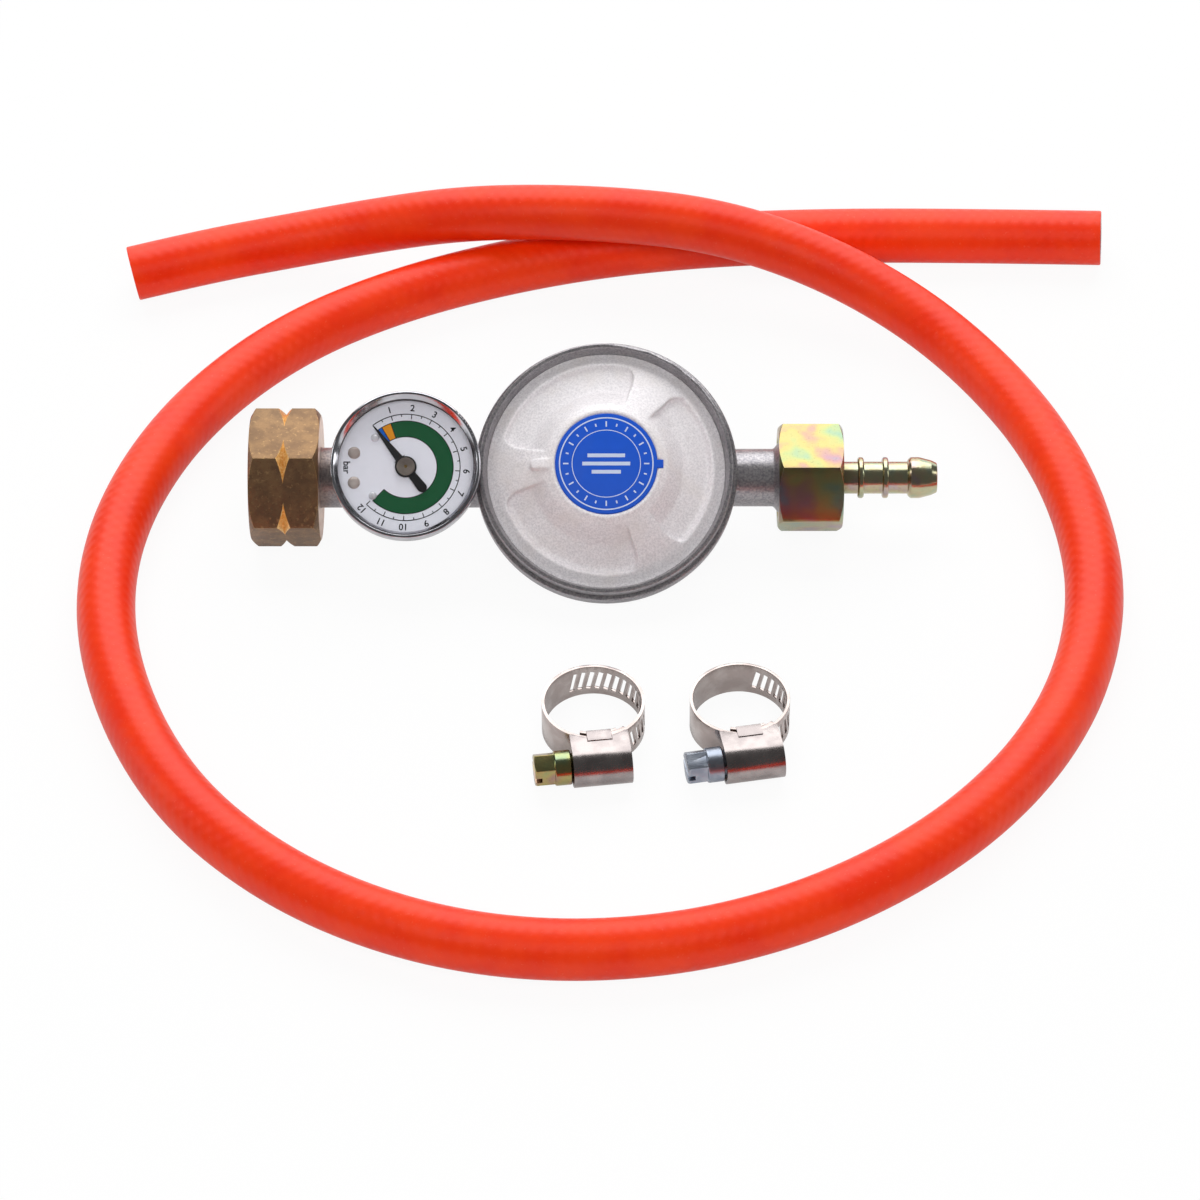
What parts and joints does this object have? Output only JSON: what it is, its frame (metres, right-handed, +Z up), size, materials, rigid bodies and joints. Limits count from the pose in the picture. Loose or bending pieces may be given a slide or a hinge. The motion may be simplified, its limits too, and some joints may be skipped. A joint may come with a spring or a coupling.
{
  "type": "gas regulator hose kit",
  "caption": "Low-pressure gas regulator with pressure gauge, brass cylinder nut and ribbed outlet, with a loose length of rubber hose and worm-drive hose clamps.",
  "frame": {"origin": "on the table under the middle of the regulator and clamps, the hose not counted", "axes": "+X along the gas flow from the cylinder nut to the ribbed tail, +Y towards the back where the hose crosses itself, +Z up from the table"},
  "size_m": [0.2548, 0.2536, 0.0421],
  "materials": {
    "cast_arms": "die-cast zinc alloy, satin, cast texture",
    "cast_cover": "fine sand-blasted silver",
    "label_blue": "gloss printed label",
    "black_plastic": "matte",
    "black_rubber": "matte",
    "spring_steel": "bright",
    "zinc_steel": "clear zinc plated",
    "brass_bright": "machined",
    "brass_aged": "hot-forged, brown oxide with bright machined corners",
    "zinc_yellow": "yellow chromate zinc, iridescent",
    "chrome_steel": "polished",
    "lens_glass": "clear",
    "dial_white": "printed",
    "pointer_black": "matte black",
    "stainless": "bright rolled stainless",
    "hose_rubber": "smooth, slightly waxy"
  },
  "bodies": {
    "regulator": {"body_casting": "cast_arms", "diaphragm_cover": "cast_cover", "label_disc": "label_blue", "adjusting_plug": "black_plastic", "diaphragm": "black_rubber", "main_spring": "spring_steel", "lever_pin": "spring_steel", "valve_seat": "brass_bright", "inlet_nipple": "brass_bright", "inlet_gasket": "black_rubber", "inlet_filter": "brass_bright", "outlet_gasket": "black_rubber", "hose_tail": "zinc_yellow", "gauge_stem": "brass_bright", "gauge_seal": "black_rubber", "gauge_case": "chrome_steel", "gauge_bezel": "chrome_steel", "gauge_lens": "lens_glass", "gauge_dial": "dial_white", "dial_screw_upper": "spring_steel", "dial_screw_lower": "spring_steel", "stop_pin_zero": "black_plastic", "stop_pin_full": "black_plastic", "movement_block": "brass_bright", "bourdon_tube": "brass_bright", "clamp_left_band": "stainless", "clamp_left_housing": "stainless", "clamp_left_saddle": "stainless", "clamp_right_band": "stainless", "clamp_right_housing": "stainless", "clamp_right_saddle": "stainless", "hose": "hose_rubber"},
    "inlet_nut": {"inlet_nut": "brass_aged"},
    "outlet_nut": {"outlet_nut": "zinc_yellow"},
    "pointer": {"pointer": "pointer_black", "pointer_hub": "spring_steel", "pinion_arbor": "brass_bright"},
    "sector": {"sector_gear": "brass_bright"},
    "diaphragm_stem": {"diaphragm_plate": "zinc_steel", "diaphragm_stem": "brass_bright"},
    "lever": {"valve_lever": "zinc_steel"},
    "valve": {"valve_slider": "brass_bright", "valve_pad": "black_rubber"},
    "clamp_left_screw": {"clamp_left_screw": "zinc_yellow"},
    "clamp_right_screw": {"clamp_right_screw": "zinc_steel"}
  },
  "joints": [
    {"name": "inlet_nut_spin", "type": "hinge", "parent": "regulator", "child": "inlet_nut", "pos_m": [-0.0758, 0.03322, 0.015], "axis": [1, 0, 0], "continuous": true},
    {"name": "outlet_nut_spin", "type": "hinge", "parent": "regulator", "child": "outlet_nut", "pos_m": [0.0524, 0.03322, 0.015], "axis": [1, 0, 0], "continuous": true},
    {"name": "pointer_turn", "type": "hinge", "parent": "regulator", "child": "pointer", "pos_m": [-0.0453, 0.026, 0.02569], "axis": [0, 0.5592, -0.829], "range_deg": [0, 257], "stiffness_Nm_per_rad": 0.0001},
    {"name": "sector_swing", "type": "hinge", "parent": "regulator", "child": "sector", "pos_m": [-0.05405, 0.02712, 0.02404], "axis": [0, 0.5592, -0.829], "range_deg": [-43, 0]},
    {"name": "diaphragm_lift", "type": "slide", "parent": "regulator", "child": "diaphragm_stem", "axis": [0, -0.5592, 0.829], "range_m": [-0.001, 0.001], "stiffness_N_per_m": 1200, "deforming": ["main_spring", "diaphragm"]},
    {"name": "lever_rock", "type": "hinge", "parent": "regulator", "child": "lever", "pos_m": [-0.0061, 0.03601, 0.01086], "axis": [0, 0.829, 0.5592], "range_deg": [-6.4, 6.4]},
    {"name": "valve_slide", "type": "slide", "parent": "regulator", "child": "valve", "axis": [1, 0, 0], "range_m": [-0.00056, 0.00056]},
    {"name": "clamp_left_screw_spin", "type": "hinge", "parent": "regulator", "child": "clamp_left_screw", "pos_m": [-0.00617, -0.05283, 0.00538], "axis": [0.9925, 0.1219, 0], "continuous": true},
    {"name": "clamp_right_screw_spin", "type": "hinge", "parent": "regulator", "child": "clamp_right_screw", "pos_m": [0.02907, -0.05177, 0.00539], "axis": [0.9848, 0.1736, 0], "continuous": true}
  ],
  "couplings": [
    {"joint": "sector_swing", "follows": "pointer_turn", "ratio": -0.16667},
    {"joint": "lever_rock", "follows": "diaphragm_lift", "rad_per_m": -111.11},
    {"joint": "valve_slide", "follows": "diaphragm_lift", "ratio": -0.55556}
  ]
}
